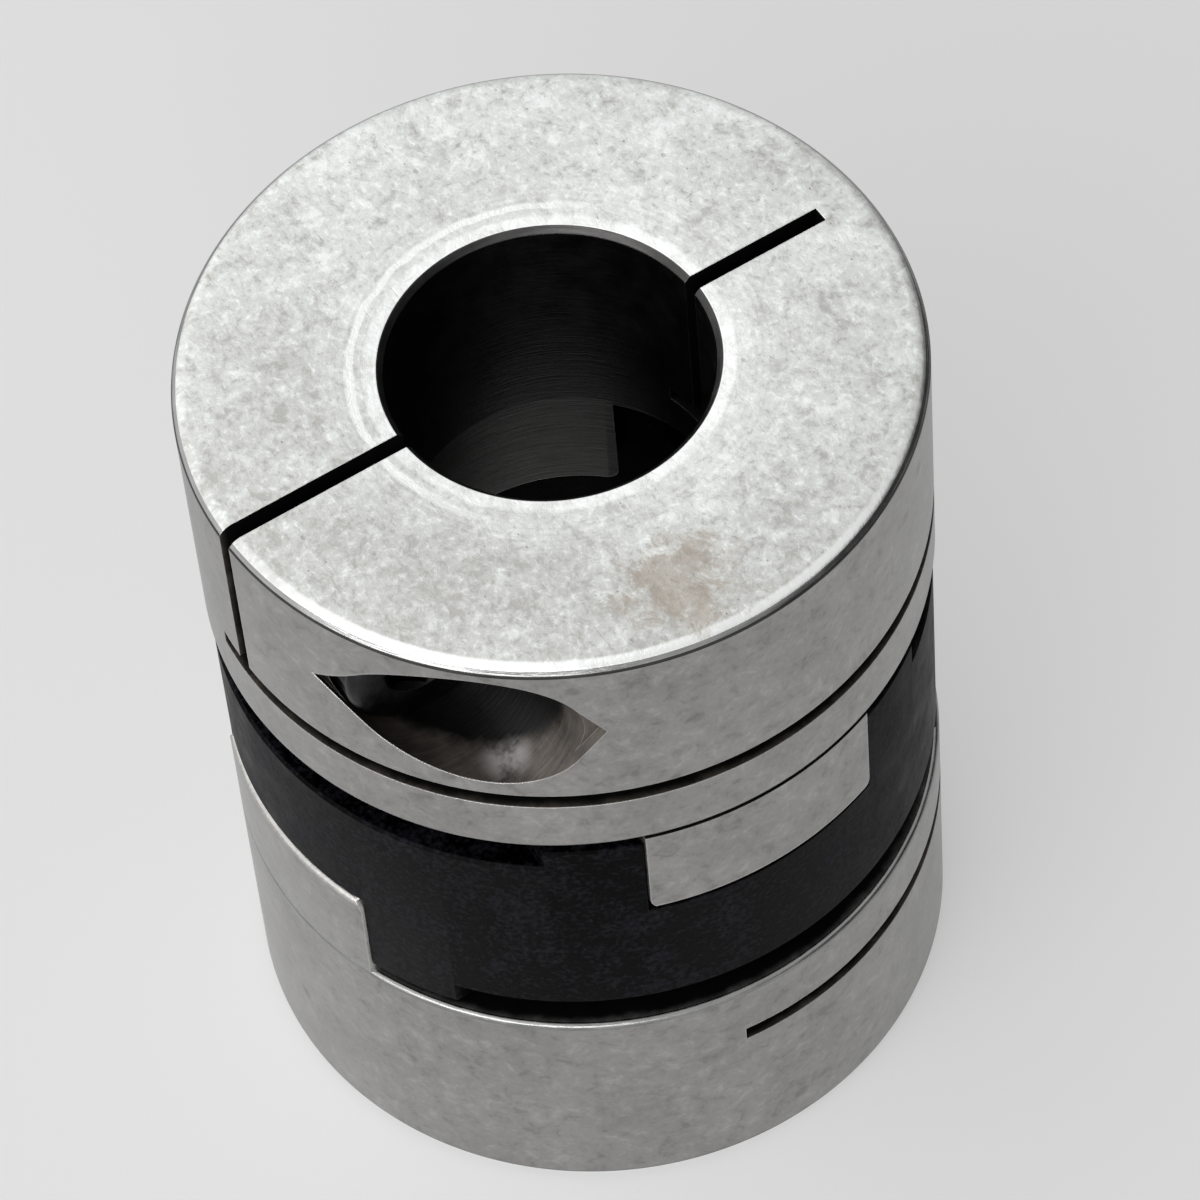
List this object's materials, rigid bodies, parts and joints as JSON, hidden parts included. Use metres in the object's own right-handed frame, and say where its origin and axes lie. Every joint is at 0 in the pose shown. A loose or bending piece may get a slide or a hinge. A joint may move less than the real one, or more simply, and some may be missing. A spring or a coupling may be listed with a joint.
{
  "type": "oldham coupling",
  "caption": "Oldham shaft coupling: clamp hubs with crossed tenons slide in the slots of a centre disc, to join shafts that are slightly out of line.",
  "frame": {"origin": "on the shaft axis, at the lower hub's outer face, which the coupling stands on", "axes": "+Z along the shaft axis towards the upper hub; the lower hub's tenon runs along X and the upper hub's along Y"},
  "size_m": [0.025, 0.025, 0.0314],
  "materials": {
    "hub_aluminium": "satin, turned and tumbled",
    "disc_plastic": "machined black engineering plastic, half gloss",
    "screw_steel": "black oxide"
  },
  "bodies": {
    "lower_hub": {"lower_hub": "hub_aluminium", "lower_clamp_screw": "screw_steel"},
    "centre_disc": {"centre_disc": "disc_plastic"},
    "upper_hub": {"upper_hub": "hub_aluminium", "upper_clamp_screw": "screw_steel"}
  },
  "joints": [
    {"name": "disc_slide", "type": "slide", "parent": "lower_hub", "child": "centre_disc", "axis": [1, 0, 0], "range_m": [-0.001, 0.001]},
    {"name": "upper_hub_slide", "type": "slide", "parent": "centre_disc", "child": "upper_hub", "axis": [0, 1, 0], "range_m": [-0.001, 0.001]}
  ]
}
